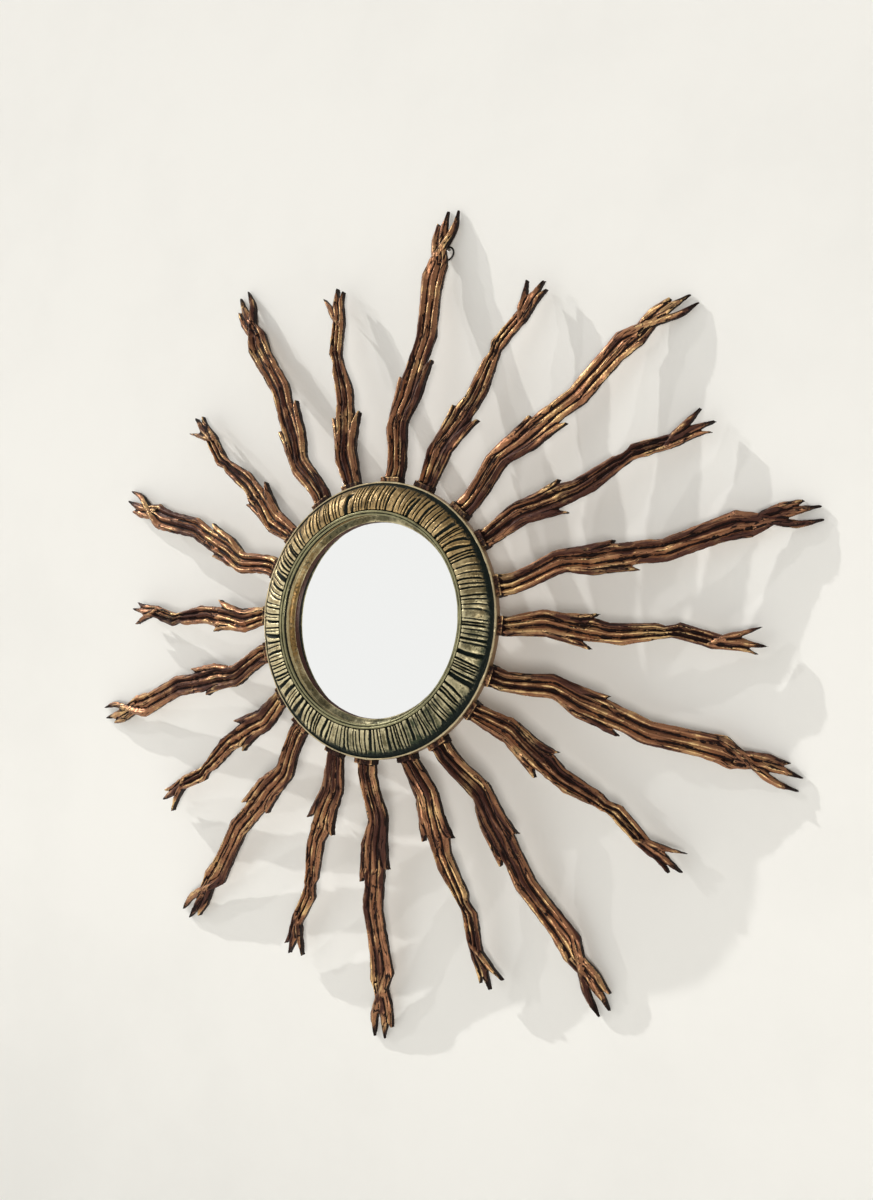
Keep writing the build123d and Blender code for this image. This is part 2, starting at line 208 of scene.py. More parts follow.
class Wiring:
    """Places nodes in one tree and joins their sockets"""

    def __init__(self, tree):
        self.tree = tree

    def join(self, value, socket):
        """Links a socket to another one, or gives it a plain value"""
        if isinstance(value, bpy.types.NodeSocket):
            self.tree.links.new(value, socket)
        else:
            socket.default_value = value

    def place(self, kind, inputs=None, **settings):
        """A new node with its settings and inputs"""
        node = self.tree.nodes.new(kind)
        for name, value in settings.items():
            setattr(node, name, value)
        for key, value in (inputs or {}).items():
            self.join(value, node.inputs[key])
        return node

    def maths(self, operation, *values, clamp=False):
        """The result of one Math node"""
        node = self.place("ShaderNodeMath", operation=operation, use_clamp=clamp)
        for index, value in enumerate(values):
            self.join(value, node.inputs[index])
        return node.outputs[0]

    def plus(self, first, second):
        """Two values added"""
        return self.maths("ADD", first, second)

    def minus(self, first, second, clamp=False):
        """One value less another"""
        return self.maths("SUBTRACT", first, second, clamp=clamp)

    def times(self, first, second):
        """Two values multiplied"""
        return self.maths("MULTIPLY", first, second)

    def scaled(self, value, by, added, clamp=False):
        """A value multiplied, with another one added"""
        return self.maths("MULTIPLY_ADD", value, by, added, clamp=clamp)

    def larger(self, first, second):
        """The larger of two values"""
        return self.maths("MAXIMUM", first, second)

    def spot(self):
        """The place on the object"""
        return self.place("ShaderNodeTexCoord").outputs["Object"]

    def split(self, vector):
        """A vector's parts, named X, Y and Z"""
        return self.place("ShaderNodeSeparateXYZ", {"Vector": vector}).outputs

    def vector(self, x, y, z):
        """A vector made of three values"""
        return self.place("ShaderNodeCombineXYZ", {"X": x, "Y": y, "Z": z}).outputs[0]

    def spread(self, value, low, high, to_low=0.0, to_high=1.0):
        """A value mapped smoothly from one range to another, and kept in it"""
        node = self.place(
            "ShaderNodeMapRange",
            {
                "Value": value,
                "From Min": low,
                "From Max": high,
                "To Min": to_low,
                "To Max": to_high,
            },
            interpolation_type="SMOOTHSTEP",
        )
        return node.outputs["Result"]

    def blend(self, share, first, second):
        """Two colours mixed by a share"""
        node = self.place("ShaderNodeMix", data_type="RGBA")
        self.join(share, node.inputs[0])
        self.join(first, node.inputs[6])
        self.join(second, node.inputs[7])
        return node.outputs[2]

    def noise(self, where, scale, detail=3.0, roughness=0.55):
        """Soft noise at a place"""
        node = self.place(
            "ShaderNodeTexNoise",
            {"Vector": where, "Scale": scale, "Detail": detail, "Roughness": roughness},
        )
        return node.outputs[0]

    def mark(self, name):
        """A mark that the mesh carries, as a number"""
        node = self.place("ShaderNodeAttribute", attribute_name=name)
        return node.outputs["Fac"]


def colour(value, share=1.0):
    """A colour socket's value from three numbers, lighter or darker by a share"""
    return (value[0] * share, value[1] * share, value[2] * share, 1.0)


def new_group(name, kind, inputs, outputs):
    """An empty node group with its sockets, and its wiring"""
    tree = bpy.data.node_groups.new(name, kind)
    for label, socket_type, default in inputs:
        socket = tree.interface.new_socket(name=label, in_out="INPUT", socket_type=socket_type)
        if default is not None:
            socket.default_value = default
    for label, socket_type in outputs:
        tree.interface.new_socket(name=label, in_out="OUTPUT", socket_type=socket_type)
    wiring = Wiring(tree)
    entry = tree.nodes.new("NodeGroupInput")
    leaving = tree.nodes.new("NodeGroupOutput")
    return wiring, entry.outputs, leaving.inputs


def gilding_group():
    """Shared finish: leaf over a coloured ground, with dark flecks, mottling and painted shade in
    the hollows, and painted highlights of brighter leaf on the crests
    """
    found = bpy.data.node_groups.get("Gilding")
    if found is not None:
        return found
    wiring, given, wanted = new_group(
        "Gilding",
        "ShaderNodeTree",
        [
            ("Crest", NUMBER, 0.0),
            ("Groove", NUMBER, 0.0),
            ("Worn", NUMBER, 0.0),
            ("Leaf", TINT, (0.3, 0.2, 0.1, 1.0)),
            ("Bright", TINT, (0.6, 0.4, 0.2, 1.0)),
            ("Ground", TINT, (0.1, 0.03, 0.02, 1.0)),
            ("Dark", TINT, (0.01, 0.01, 0.01, 1.0)),
            ("Grain Place", PLACE, None),
            ("Patch Scale", NUMBER, 30.0),
            ("Fleck Scale", NUMBER, 420.0),
            ("Ground Share", NUMBER, 0.5),
            ("Shine", NUMBER, 0.75),
        ],
        [("Colour", TINT), ("Metallic", NUMBER), ("Roughness", NUMBER), ("Height", NUMBER)],
    )
    where = wiring.spot()
    patches = wiring.noise(where, given["Patch Scale"], 4.0, 0.6)
    fine_scale = wiring.times(given["Patch Scale"], 7.0)
    mottle = wiring.noise(given["Grain Place"], fine_scale, 5.0, 0.65)
    flecks = wiring.noise(where, given["Fleck Scale"], 2.0, 0.5)
    # Painted highlight: the crests get brighter leaf, on top of random patches of whole leaf
    leaf_patches_and_highlight = wiring.scaled(given["Crest"], 0.34, patches)
    leaf_patches_and_highlight = wiring.scaled(mottle, 0.35, leaf_patches_and_highlight)
    bright_leaf_and_highlight_share = wiring.spread(leaf_patches_and_highlight, 0.67, 0.98)
    leaf = wiring.blend(bright_leaf_and_highlight_share, given["Leaf"], given["Bright"])
    bare = wiring.scaled(mottle, 0.75, given["Worn"])
    bare = wiring.plus(bare, given["Ground Share"])
    bare = wiring.minus(bare, wiring.times(patches, 0.5))
    ground_share = wiring.spread(bare, 0.52, 0.82)
    gilded = wiring.blend(ground_share, leaf, given["Ground"])
    pits = wiring.place(
        "ShaderNodeTexVoronoi", {"Vector": where, "Scale": given["Fleck Scale"]}
    ).outputs
    pit_pick = wiring.place("ShaderNodeSeparateColor", {"Color": pits["Color"]}).outputs["Red"]
    pit_round = wiring.spread(pits["Distance"], 0.16, 0.42, 1.0, 0.0)
    pit = wiring.times(pit_round, wiring.spread(pit_pick, 0.80, 0.86))
    # Painted shade: the Groove input darkens the hollows, on top of the real flecks and mottling
    dirt_and_painted_shade = wiring.scaled(flecks, 0.4, given["Groove"])
    dirt_and_painted_shade = wiring.scaled(mottle, 0.55, dirt_and_painted_shade)
    dark_share = wiring.spread(dirt_and_painted_shade, 0.54, 0.80)
    dark_share = wiring.larger(dark_share, wiring.times(pit, 0.85))
    shown = wiring.blend(dark_share, gilded, given["Dark"])
    whole = wiring.minus(1.0, dark_share)
    leafed = wiring.scaled(ground_share, -0.75, 1.0)
    metal = wiring.times(wiring.times(whole, leafed), given["Shine"])
    rough = wiring.scaled(mottle, 0.30, 0.20)
    rough = wiring.scaled(ground_share, 0.12, rough)
    rough = wiring.scaled(dark_share, 0.25, rough, clamp=True)
    height = wiring.scaled(flecks, 0.5, mottle)
    height = wiring.minus(height, wiring.times(pit, 1.2))
    made = {"Colour": shown, "Metallic": metal, "Roughness": rough, "Height": height}
    for label, value in made.items():
        wiring.join(value, wanted[label])
    return wiring.tree


def new_material(name):
    """A material with a bare Principled shader, its wiring and its shader"""
    material = bpy.data.materials.new(name)
    material.use_nodes = True
    wiring = Wiring(material.node_tree)
    shader = material.node_tree.nodes["Principled BSDF"]
    return material, wiring, shader


def bump(wiring, shader, height, strength, distance):
    """Feeds a height to the shader's normal"""
    node = wiring.place(
        "ShaderNodeBump", {"Strength": strength, "Distance": distance, "Height": height}
    )
    wiring.join(node.outputs["Normal"], shader.inputs["Normal"])


def feed(wiring, shader, shade, rough, metallic=0.0):
    """Gives a shader its colour and roughness, and how metallic it is all over"""
    wiring.join(shade, shader.inputs["Base Color"])
    wiring.join(rough, shader.inputs["Roughness"])
    shader.inputs["Metallic"].default_value = metallic


def gild(wiring, shader, strength, distance, **values):
    """Gives a shader the gilding group's finish, with its relief and a low gloss"""
    node = wiring.tree.nodes.new("ShaderNodeGroup")
    node.node_tree = gilding_group()
    for label, value in values.items():
        wiring.join(value, node.inputs[label.replace("_", " ")])
    wiring.join(node.outputs["Colour"], shader.inputs["Base Color"])
    for label in ("Metallic", "Roughness"):
        wiring.join(node.outputs[label], shader.inputs[label])
    shader.inputs["Specular IOR Level"].default_value = LOW_GLOSS
    bump(wiring, shader, node.outputs["Height"], strength, distance)


def ray_gilding(colours):
    """Burnished leaf over red-brown bole, with dark wax and painted shade in the grooves, painted
    shade on the side-on sides, and painted highlights on the crests
    """
    material, wiring, shader = new_material("Ray Gilding")
    # The groove mark brings painted shade in the grooves and on the side-on sides; the tip mark
    # darkens the claw tips and root collars
    groove = wiring.larger(wiring.mark(GROOVE), wiring.mark(TIP))
    rear = wiring.mark(REAR)
    fibre = wiring.place("ShaderNodeAttribute", attribute_name=FIBRE).outputs["Vector"]
    fibres = wiring.minus(wiring.noise(fibre, 150.0, 2.0, 0.5), 0.5)
    lines = wiring.spread(wiring.maths("ABSOLUTE", fibres), 0.0, 0.030, 0.42, 0.0)
    bands = wiring.noise(fibre, 95.0, 2.0, 0.5)
    worn = wiring.spread(bands, 0.47, 0.60, 0.0, 0.28)
    gild(
        wiring,
        shader,
        strength=0.45,
        distance=0.0007,
        Crest=wiring.mark(CREST),
        Groove=wiring.plus(groove, lines),
        Worn=wiring.scaled(rear, 0.6, worn),
        Leaf=colour(colours.leaf),
        Bright=colour(colours.bright_leaf),
        Ground=wiring.blend(rear, colour(colours.bole), colour(colours.wood)),
        Dark=colour(colours.wax_and_painted_shade),
        Grain_Place=fibre,
        Patch_Scale=30.0,
        Fleck_Scale=420.0,
        Ground_Share=0.40,
        Shine=0.55,
    )
    return material


def ring_gilding(colours):
    """Olive gold lobes with a green patina, darkest at the foot and in the cuts; painted shade
    makes the ring greener and darker towards the lower right and in its hollows, and painted
    highlights lighten the crests
    """
    material, wiring, shader = new_material("Ring Gilding")
    where = wiring.spot()
    split = wiring.split(where)
    height = wiring.minus(split["Z"], MIRROR_CENTRE.z)
    # Painted shade: greener and darker towards the lower right, away from the light at the upper
    # left, over the real green patina
    patina_and_shade_lean = wiring.plus(wiring.times(split["X"], 3.2), wiring.times(height, -2.6))
    broad = wiring.noise(where, 16.0, 3.0, 0.6)
    foot = wiring.mark(FOOT)
    rim = wiring.mark(RIM)
    side = wiring.mark(SIDE)
    green_share = wiring.scaled(foot, 0.8, wiring.scaled(broad, 1.5, patina_and_shade_lean))
    green_share = wiring.spread(green_share, 0.45, 1.75)
    leaf = wiring.blend(green_share, colour(colours.ring_leaf), colour(colours.ring_green))
    bright = wiring.blend(
        wiring.times(green_share, 0.62), colour(colours.ring_bright), colour(colours.bead_green)
    )
    aged = wiring.spread(wiring.scaled(broad, 0.10, height), 0.06, 0.16, 0.0, 0.85)
    wood = colour(colours.wood)
    rim_gold = colour(colours.rim_gold)
    for share, dull, clean in (
        (aged, colour(colours.slip_gold, 0.5), colour(colours.slip_gold, 1.3)),
        (wiring.mark(BEAD), colour(colours.bead_green), colour(colours.bead_green, 2.4)),
        (side, wood, wood),
        (rim, rim_gold, rim_gold),
    ):
        leaf = wiring.blend(share, leaf, dull)
        bright = wiring.blend(share, bright, clean)
    # Painted shade at the foot of the band, deepest towards the lower right; with the grooves and
    # cuts it goes to the green-black dark colour
    painted_foot_shade = wiring.times(foot, wiring.scaled(green_share, 0.34, 0.04))
    hollow = wiring.larger(wiring.mark(GROOVE), wiring.mark(CUT))
    hollow = wiring.larger(hollow, painted_foot_shade)
    gild(
        wiring,
        shader,
        strength=0.4,
        distance=0.0006,
        Crest=wiring.mark(CREST),
        Groove=wiring.times(hollow, wiring.scaled(rim, -0.7, 1.0)),
        Worn=wiring.times(wiring.mark(REAR), 0.7),
        Leaf=leaf,
        Bright=bright,
        Ground=wiring.blend(side, colour(colours.ring_green), colour(colours.bole)),
        Dark=colour(colours.ring_dark),
        Grain_Place=where,
        Patch_Scale=42.0,
        Fleck_Scale=480.0,
        Ground_Share=0.30,
        Shine=0.40,
    )
    return material


def slip_gilding(colours):
    """Brown gold cove, greener at its top and bottom"""
    material, wiring, shader = new_material("Slip Gilding")
    where = wiring.spot()
    height = wiring.minus(wiring.split(where)["Z"], MIRROR_CENTRE.z)
    reach = wiring.times(wiring.maths("ABSOLUTE", height), 10.0)
    broad = wiring.noise(where, 20.0, 3.0, 0.6)
    green_share = wiring.spread(wiring.scaled(broad, 0.8, reach), 0.85, 1.5)
    gild(
        wiring,
        shader,
        strength=0.35,
        distance=0.0005,
        # Painted highlights on the crests and painted shade in the grooves
        Crest=wiring.mark(CREST),
        Groove=wiring.mark(GROOVE),
        Worn=wiring.mark(RIM),
        Leaf=wiring.blend(green_share, colour(colours.slip_gold), colour(colours.bead_green)),
        Bright=colour(colours.ring_bright),
        Ground=colour(colours.bole),
        Dark=colour(colours.ring_dark),
        Grain_Place=where,
        Patch_Scale=38.0,
        Fleck_Scale=520.0,
        Ground_Share=0.26,
        Shine=0.45,
    )
    return material


def mirror_plate():
    """Silvered glass with faint smears and a little tarnish at its edge"""
    material, wiring, shader = new_material("Mirror Plate")
    where = wiring.spot()
    centred = wiring.place(
        "ShaderNodeMapping", {"Vector": where, "Location": -MIRROR_CENTRE}
    ).outputs["Vector"]
    reach = wiring.place("ShaderNodeVectorMath", {0: centred}, operation="LENGTH").outputs["Value"]
    spots = wiring.noise(where, 160.0, 4.0, 0.7)
    edge = wiring.spread(reach, TARNISH_START, TARNISH_END)
    tarnish = wiring.times(wiring.spread(spots, 0.55, 0.66), wiring.times(edge, 0.5))
    silver = wiring.blend(tarnish, SILVER, TARNISH)
    smears = wiring.spread(wiring.noise(where, 22.0, 3.0, 0.6), 0.4, 0.75, 0.006, 0.03)
    feed(wiring, shader, silver, smears, metallic=1.0)
    return material


def backing_wood(colours):
    """Old softwood board with its grain"""
    material, wiring, shader = new_material("Backing Wood")
    where = wiring.spot()
    turned = wiring.place(
        "ShaderNodeMapping",
        {"Vector": where, "Rotation": (0.0, math.radians(6.0), 0.0), "Scale": (1.0, 1.0, 0.05)},
    ).outputs["Vector"]
    bands = wiring.place(
        "ShaderNodeTexWave",
        {"Vector": turned, "Scale": 55.0, "Distortion": 6.0, "Detail": 3.0},
    ).outputs["Fac"]
    fibres = wiring.noise(turned, 900.0, 3.0, 0.6)
    stain = wiring.noise(where, 14.0, 4.0, 0.6)
    light = colour(colours.wood)
    deep = colour(colours.wood, 0.42)
    grown = wiring.blend(wiring.times(bands, 0.55), light, deep)
    worn = wiring.blend(wiring.spread(stain, 0.5, 0.8, 0.0, 0.6), grown, deep)
    rough = wiring.scaled(fibres, 0.2, 0.62)
    relief = wiring.scaled(bands, 0.4, fibres)
    feed(wiring, shader, worn, rough)
    bump(wiring, shader, relief, 0.3, 0.0004)
    return material


# Metals, each with its bright and its dull colour
STEEL = ((0.46, 0.45, 0.42, 1.0), (0.15, 0.10, 0.07, 1.0))
WIRE = ((0.030, 0.029, 0.028, 1.0), (0.016, 0.013, 0.011, 1.0))
OLD_NAIL = ((0.30, 0.28, 0.26, 1.0), (0.05, 0.04, 0.035, 1.0))


def metal_finish(name, bright, dull, roughness, metallic):
    """Wire or sheet metal with tarnish in patches"""
    material, wiring, shader = new_material(name)
    where = wiring.spot()
    patches = wiring.noise(where, 240.0, 4.0, 0.6)
    scratches = wiring.noise(where, 1500.0, 2.0, 0.5)
    share = wiring.spread(patches, 0.42, 0.68)
    rough = wiring.scaled(share, 0.25, roughness)
    rough = wiring.scaled(scratches, 0.1, rough, clamp=True)
    feed(wiring, shader, wiring.blend(share, bright, dull), rough, metallic)
    bump(wiring, shader, scratches, 0.15, 0.0002)
    return material


def read_rows(items, label, width, kind=float):
    """One property of all of a mesh's vertices or edges, as rows"""
    values = np.empty(len(items) * width, kind)
    items.foreach_get(label, values)
    return values.reshape(-1, width)


def points_of(mesh):
    """A mesh's vertices as rows of three numbers"""
    return read_rows(mesh.vertices, "co", 3)


def put_points(mesh, points):
    """Moves a mesh's vertices"""
    mesh.vertices.foreach_set("co", points.astype(np.float32).ravel())
    mesh.update()


def normals_of(mesh):
    """A mesh's vertex normals"""
    return read_rows(mesh.vertex_normals, "vector", 3)


def edges_of(mesh):
    """A mesh's edges as pairs of vertex numbers"""
    return read_rows(mesh.edges, "vertices", 2, np.int32)


def eased(values, pairs, rounds, pull=0.5):
    """Each row drawn towards the mean of its neighbours, round after round"""
    first, second = pairs[:, 0], pairs[:, 1]
    total = len(values)
    count = np.bincount(first, minlength=total) + np.bincount(second, minlength=total)
    count = np.maximum(count, 1)[:, None]
    for _ in range(rounds):
        summed = np.empty_like(values)
        for axis in range(values.shape[1]):
            column = values[:, axis]
            summed[:, axis] = np.bincount(
                first, column[second], minlength=total
            ) + np.bincount(second, column[first], minlength=total)
        values = values + pull * (summed / count - values)
    return values


def ripple(points, length, seed, waves=16):
    """Smooth random swell over points, about one high, with waves of about one length"""
    chance = np.random.default_rng(seed)
    ways = chance.normal(size=(waves, 3))
    ways /= np.linalg.norm(ways, axis=1)[:, None]
    ways *= (FULL_TURN / length) * chance.uniform(0.6, 1.5, size=(waves, 1))
    starts = chance.uniform(0.0, FULL_TURN, size=waves)
    return np.sin(points @ ways.T + starts).sum(axis=1) / math.sqrt(waves / 2)


def ramp(values, start, width):
    """From 0 at a start to 1 a width further on, and falling where the width is negative"""
    return np.clip((values - start) / width, 0.0, 1.0)


def store_mark(mesh, name, values):
    """Keeps one number for each vertex on the mesh, from 0 to 1"""
    found = mesh.attributes.get(name) or mesh.attributes.new(name, "FLOAT", "POINT")
    found.data.foreach_set("value", np.clip(values, 0.0, 1.0).astype(np.float32))


def store_vectors(mesh, name, vectors):
    """Keeps three numbers for each vertex on the mesh"""
    kept = mesh.attributes.new(name, "FLOAT_VECTOR", "POINT")
    kept.data.foreach_set("vector", vectors.astype(np.float32).ravel())


def in_scene(name, data):
    """A new object of the scene, at the origin"""
    made = bpy.data.objects.new(name, data)
    bpy.context.scene.collection.objects.link(made)
    return made


def relief_of(points, normals, pairs, rounds):
    """How far each point stands proud of the smoothed surface, in metres"""
    return ((points - eased(points, pairs, rounds)) * normals).sum(axis=1)


def add_piece(name, mesh, material, slot, *nodes):
    """Puts a finished mesh in the scene in place of its CAD nodes"""
    piece = in_scene(name, mesh)
    mesh.materials.clear()
    mesh.materials.append(material)
    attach(piece, MIRROR_BODY)
    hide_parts(*nodes)


def dress_node(node, material):
    """Gives a CAD node its finish"""
    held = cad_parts[node]
    if not held.material_slots:
        held.data.materials.append(material)
    for slot in held.material_slots:
        slot.material = material


def baked(holder):
    """The plain mesh that an object's modifiers make"""
    graph = bpy.context.evaluated_depsgraph_get()
    mesh = bpy.data.meshes.new_from_object(
        holder.evaluated_get(graph), preserve_all_data_layers=True, depsgraph=graph
    )
    held = holder.data
    bpy.data.objects.remove(holder)
    bpy.data.meshes.remove(held)
    return mesh


def turned_ring_tree():
    """Geometry Nodes: a profile carried round a circle, with irregular gouge cuts across it"""
    found = bpy.data.node_groups.get("Turned Ring")
    if found is not None:
        return found
    wiring, given, wanted = new_group(
        "Turned Ring",
        "GeometryNodeTree",
        [
            ("Profile", SURFACE, None),
            ("Profile Points", COUNT, 60),
            ("Steps Round", COUNT, 720),
            ("Centre", PLACE, (0.0, 0.0, 0.0)),
            ("Cuts", COUNT, 120),
            ("Cut Depth", NUMBER, 0.002),
            ("Cut Width", NUMBER, 0.2),
            ("Cut Slant", NUMBER, 0.8),
            ("Wander", NUMBER, 4.0),
            ("Lobe Swell", NUMBER, 0.0005),
            ("Unevenness", NUMBER, 0.0004),
            ("Seed", COUNT, 1),
            ("Material", "NodeSocketMaterial", None),
        ],
        [("Ring", SURFACE)],
    )
    columns = wiring.plus(given["Profile Points"], 1.0)
    rows = wiring.plus(given["Steps Round"], 1.0)
    grid = wiring.place("GeometryNodeMeshGrid", {"Vertices X": rows, "Vertices Y": columns})
    number = wiring.place("GeometryNodeInputIndex").outputs[0]
    row = wiring.maths("FLOOR", wiring.maths("DIVIDE", wiring.plus(number, 0.5), columns))
    column = wiring.minus(number, wiring.times(row, columns))
    column = wiring.maths("FLOORED_MODULO", column, given["Profile Points"])
    column = wiring.place("FunctionNodeFloatToInt", {0: column}, rounding_mode="ROUND").outputs[0]

    def carried(name, data_type="FLOAT"):
        """A mark or vector of the profile, read for each point of the grid"""
        read = wiring.place("GeometryNodeInputNamedAttribute", {"Name": name}, data_type=data_type)
        sample = wiring.place("GeometryNodeSampleIndex", data_type=data_type)
        wiring.join(given["Profile"], sample.inputs["Geometry"])
        wiring.join(read.outputs["Attribute"], sample.inputs["Value"])
        wiring.join(column, sample.inputs["Index"])
        return sample.outputs[0]

    def uneven_noise(where, scale, detail, roughness):
        """Noise that swings as far below nothing as above it"""
        return wiring.minus(wiring.noise(where, scale, detail, roughness), 0.5)

    place = wiring.split(carried("place", "FLOAT_VECTOR"))
    facing = wiring.split(carried("facing", "FLOAT_VECTOR"))
    band = carried(BAND)
    across = carried("across")
    turn = wiring.maths("DIVIDE", row, given["Steps Round"])
    angle = wiring.times(turn, FULL_TURN)
    sine = wiring.maths("SINE", angle)
    cosine = wiring.maths("COSINE", angle)
    shift = wiring.times(given["Seed"], 3.7)
    round_place = wiring.vector(sine, cosine, shift)
    drift = wiring.noise(round_place, 3.2, 2.0, 0.6)
    lean_noise = wiring.noise(round_place, 5.0, 1.0, 0.5)
    lean = wiring.times(wiring.spread(lean_noise, 0.3, 0.7, 0.1, 2.0), given["Cut Slant"])
    bend = wiring.maths("POWER", wiring.minus(1.0, across), 1.5)
    phase = wiring.times(turn, given["Cuts"])
    phase = wiring.scaled(drift, given["Wander"], phase)
    phase = wiring.minus(phase, wiring.times(lean, bend))
    wavy_place = wiring.vector(
        wiring.times(sine, WAVES_ROUND),
        wiring.times(cosine, WAVES_ROUND),
        wiring.scaled(across, 1.1, shift),
    )
    phase = wiring.scaled(uneven_noise(wavy_place, 1.0, 2.0, 0.5), 0.55, phase)
    nearest = wiring.maths("ROUND", phase)
    cut_number = wiring.maths("FLOORED_MODULO", nearest, given["Cuts"])
    chance = wiring.place(
        "ShaderNodeTexWhiteNoise",
        {"W": wiring.plus(cut_number, wiring.times(shift, 1.3))},
        noise_dimensions="1D",
    )
    picks = wiring.split(chance.outputs["Color"])
    offset = wiring.scaled(picks["X"], 0.50, -0.25)
    away = wiring.minus(wiring.minus(phase, nearest), offset)
    away = wiring.maths("ABSOLUTE", away)
    width = wiring.times(given["Cut Width"], wiring.spread(picks["Y"], 0.0, 1.0, 0.7, 1.25))
    share = wiring.minus(1.0, wiring.maths("DIVIDE", away, width), clamp=True)
    strength = wiring.spread(picks["Y"], 0.05, 0.45, 0.18, 1.0)
    start = wiring.times(picks["Z"], 0.22)
    opening = wiring.spread(wiring.minus(across, start), 0.02, 0.14)
    cut = wiring.times(wiring.times(wiring.times(share, strength), opening), band)
    shown_cut = wiring.larger(cut, carried(CUT))
    swell = wiring.minus(1.0, wiring.maths("POWER", share, 0.5))
    swell = wiring.times(wiring.times(swell, band), given["Lobe Swell"])
    radius = place["X"]
    base_place = wiring.vector(
        wiring.times(sine, radius), wiring.plus(place["Y"], shift), wiring.times(cosine, radius)
    )
    rough = uneven_noise(base_place, 95.0, 3.0, 0.6)
    broad = uneven_noise(base_place, 28.0, 2.0, 0.5)
    uneven = wiring.times(wiring.scaled(rough, 1.3, broad), given["Unevenness"])
    uneven = wiring.times(uneven, wiring.times(carried("free"), 2.0))
    sunk = wiring.times(cut, given["Cut Depth"])
    moved = wiring.minus(wiring.plus(uneven, swell), sunk)
    radius_out = wiring.scaled(facing["X"], moved, radius)
    height_out = wiring.scaled(facing["Y"], moved, place["Y"])
    ring_place = wiring.vector(
        wiring.times(sine, radius_out),
        wiring.times(height_out, -1.0),
        wiring.times(cosine, radius_out),
    )
    ring_place = wiring.place(
        "ShaderNodeVectorMath", {0: ring_place, 1: given["Centre"]}, operation="ADD"
    ).outputs[0]
    shaped = grid.outputs["Mesh"]
    marks = {CUT: shown_cut, BAND: band}
    marks.update({name: carried(name) for name in (FOOT, RIM, BEAD, SIDE)})
    for name, value in marks.items():
        store = wiring.place(
            "GeometryNodeStoreNamedAttribute",
            {"Name": name, "Value": value},
            data_type="FLOAT",
            domain="POINT",
        )
        wiring.join(shaped, store.inputs["Geometry"])
        shaped = store.outputs["Geometry"]
    for kind, extra in (
        ("GeometryNodeSetPosition", {"Position": ring_place}),
        ("GeometryNodeMergeByDistance", {"Distance": MERGE_GAP}),
        ("GeometryNodeSetShadeSmooth", {}),
        ("GeometryNodeRealizeInstances", {}),
        ("GeometryNodeSetMaterial", {"Material": given["Material"]}),
    ):
        step = wiring.place(kind, extra)
        wiring.join(shaped, step.inputs["Geometry"])
        shaped = step.outputs[0]
    wiring.join(shaped, wanted["Ring"])
    return wiring.tree


def arc(start, middle, end, steps):
    """Points on the arc through three points, its start left out"""
    first, second, third = (np.array(point, float) for point in (start, middle, end))
    rows = 2.0 * np.array([second - first, third - first])
    sums = np.array([second @ second - first @ first, third @ third - first @ first])
    centre = np.linalg.solve(rows, sums)
    turns = [math.atan2(*(point - centre)[::-1]) for point in (first, second, third)]
    sweep = (turns[2] - turns[0]) % FULL_TURN
    if (turns[1] - turns[0]) % FULL_TURN > sweep:
        sweep -= FULL_TURN
    radius = np.linalg.norm(first - centre)
    made = []
    for step in range(1, steps + 1):
        turn = turns[0] + sweep * step / steps
        made.append(tuple(centre + radius * np.array([math.cos(turn), math.sin(turn)])))
    return made


def profile_mesh(name, rows):
    """A profile as loose vertices: radius, height, and the marks of each point"""
    mesh = bpy.data.meshes.new(name)
    mesh.from_pydata([(0.0, 0.0, 0.0)] * len(rows), [], [])
    place = np.array([[radius, height, 0.0] for radius, height, _ in rows]) * MILLIMETRE
    along = np.roll(place, -1, axis=0) - np.roll(place, 1, axis=0)
    facing = np.stack([-along[:, 1], along[:, 0], np.zeros(len(rows))], axis=1)
    facing /= np.linalg.norm(facing, axis=1)[:, None]
    store_vectors(mesh, "place", place)
    store_vectors(mesh, "facing", facing)
    for label in (BAND, CUT, FOOT, RIM, BEAD, SIDE, "across", "free"):
        store_mark(mesh, label, np.array([marks.get(label, 0.0) for _, _, marks in rows]))
    return mesh


def turned_ring(name, rows, sizes, cut_depth, material):
    """Runs the ring tree on one profile and returns the plain mesh"""
    holder = in_scene(name, profile_mesh(name, rows))
    tree = turned_ring_tree()
    modifier = holder.modifiers.new("Turned Ring", "NODES")
    modifier.node_group = tree
    inputs = {
        "Profile Points": len(rows),
        "Centre": tuple(MIRROR_CENTRE),
        "Cut Depth": cut_depth,
        "Lobe Swell": sizes.lobe_swell if cut_depth else 0.0,
        "Material": material,
    }
    for label in ("Steps Round", "Cuts", "Cut Width", "Cut Slant", "Wander", "Unevenness", "Seed"):
        inputs[label] = getattr(sizes, label.lower().replace(" ", "_"))
    for item in tree.interface.items_tree:
        if item.in_out == "INPUT" and item.name in inputs:
            modifier[item.identifier] = inputs[item.name]
    bpy.context.view_layer.update()
    return baked(holder)


def mark_relief(mesh, fine_rounds, broad_rounds, fine_height, broad_height=0.0016):
    """Keeps the crests and grooves of a mesh as marks"""
    points = points_of(mesh)
    normals = normals_of(mesh)
    pairs = edges_of(mesh)
    fine = relief_of(points, normals, pairs, fine_rounds) / fine_height
    broad = relief_of(points, normals, pairs, broad_rounds) / broad_height
    # In the gilding, the crests get painted highlights and the grooves get painted shade
    store_mark(mesh, CREST, np.maximum(fine, broad))
    store_mark(mesh, GROOVE, -np.minimum(fine, broad))


def face_outwards(mesh):
    """Turns a closed mesh's faces outwards"""
    shape = bmesh.new()
    shape.from_mesh(mesh)
    if shape.calc_volume(signed=True) < 0.0:
        bmesh.ops.reverse_faces(shape, faces=shape.faces)
    shape.to_mesh(mesh)
    shape.free()
    mesh.update()


